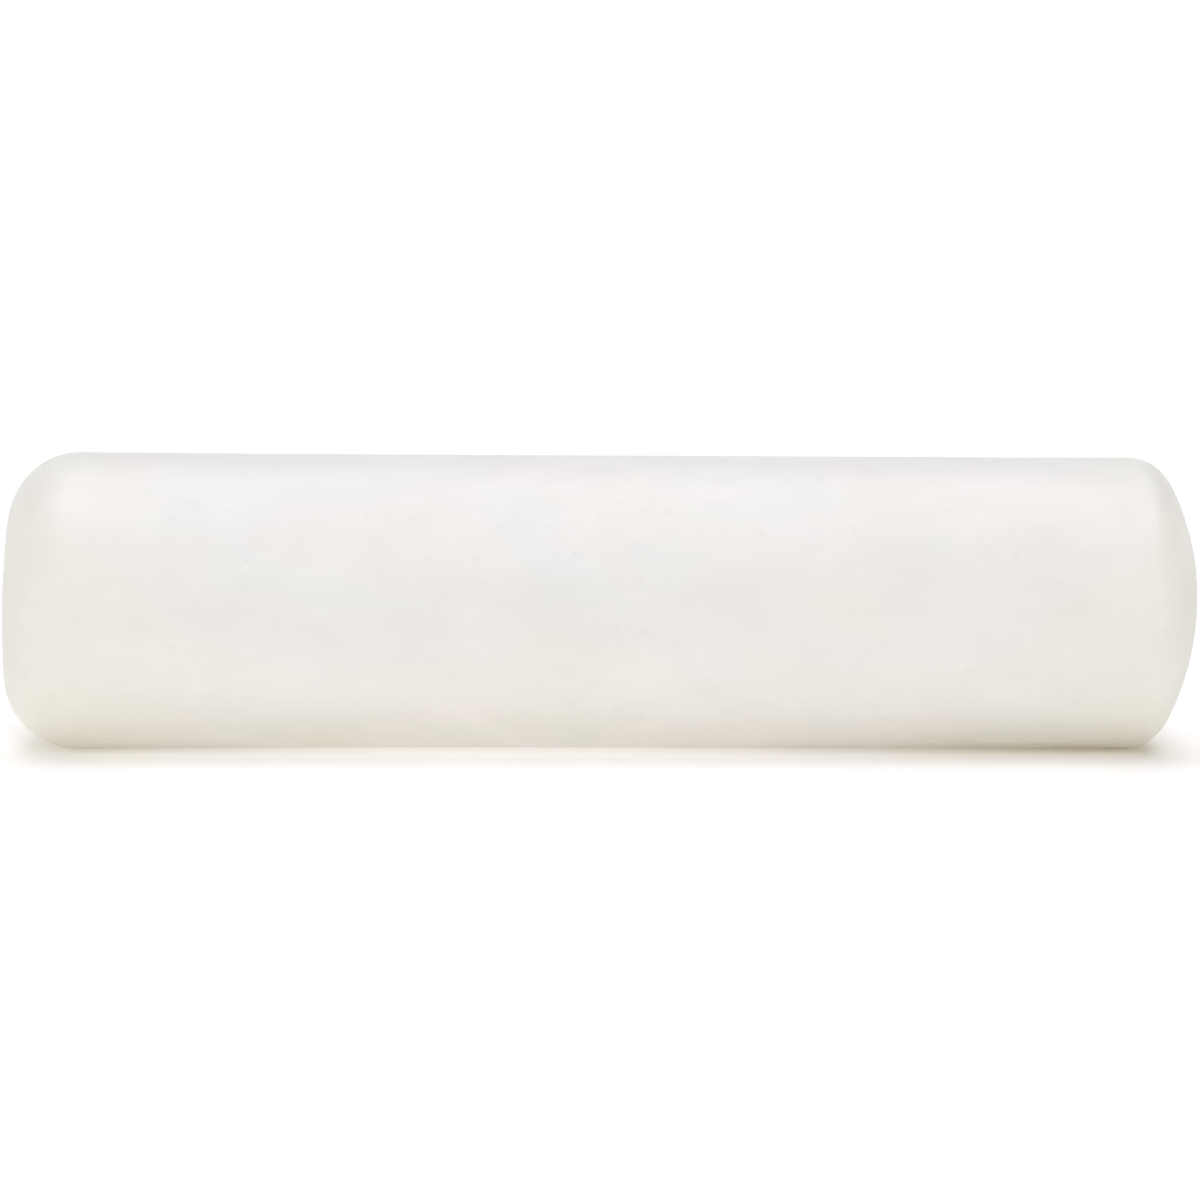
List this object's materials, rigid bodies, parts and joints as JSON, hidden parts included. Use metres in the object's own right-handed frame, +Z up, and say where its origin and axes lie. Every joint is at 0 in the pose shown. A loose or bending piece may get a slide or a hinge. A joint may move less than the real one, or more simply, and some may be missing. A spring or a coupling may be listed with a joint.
{
  "type": "foam roller",
  "caption": "Cylindrical foam roller with a seamless wipe-clean skin over foam wraps and a rigid tube core, one nearly flat end and one domed end.",
  "frame": {"origin": "middle of the flat strip that the roller rests on, which is the bottom centre of its box", "axes": "+X along the roller to its domed end, +Z up"},
  "size_m": [0.6099, 0.15, 0.1494],
  "materials": {
    "coated_skin": "smooth matte sprayed coating with small pores",
    "eyelet_plastic": "moulded, satin",
    "soft_foam": "soft closed-cell foam, cut faces",
    "firm_foam": "firm closed-cell foam, cut faces",
    "tube_plastic": "extruded, semi-gloss",
    "plug_plastic": "moulded, fine texture",
    "cushion_foam": "soft foam, shaped block"
  },
  "bodies": {
    "root": {"outer_skin": "coated_skin", "breather_eyelet": "eyelet_plastic", "soft_foam_sleeve": "soft_foam", "firm_foam_sleeve": "firm_foam", "core_tube": "tube_plastic", "core_plug_flat_end": "plug_plastic", "core_plug_domed_end": "plug_plastic", "end_cushion_flat": "cushion_foam", "end_cushion_domed": "cushion_foam"}
  },
  "joints": []
}
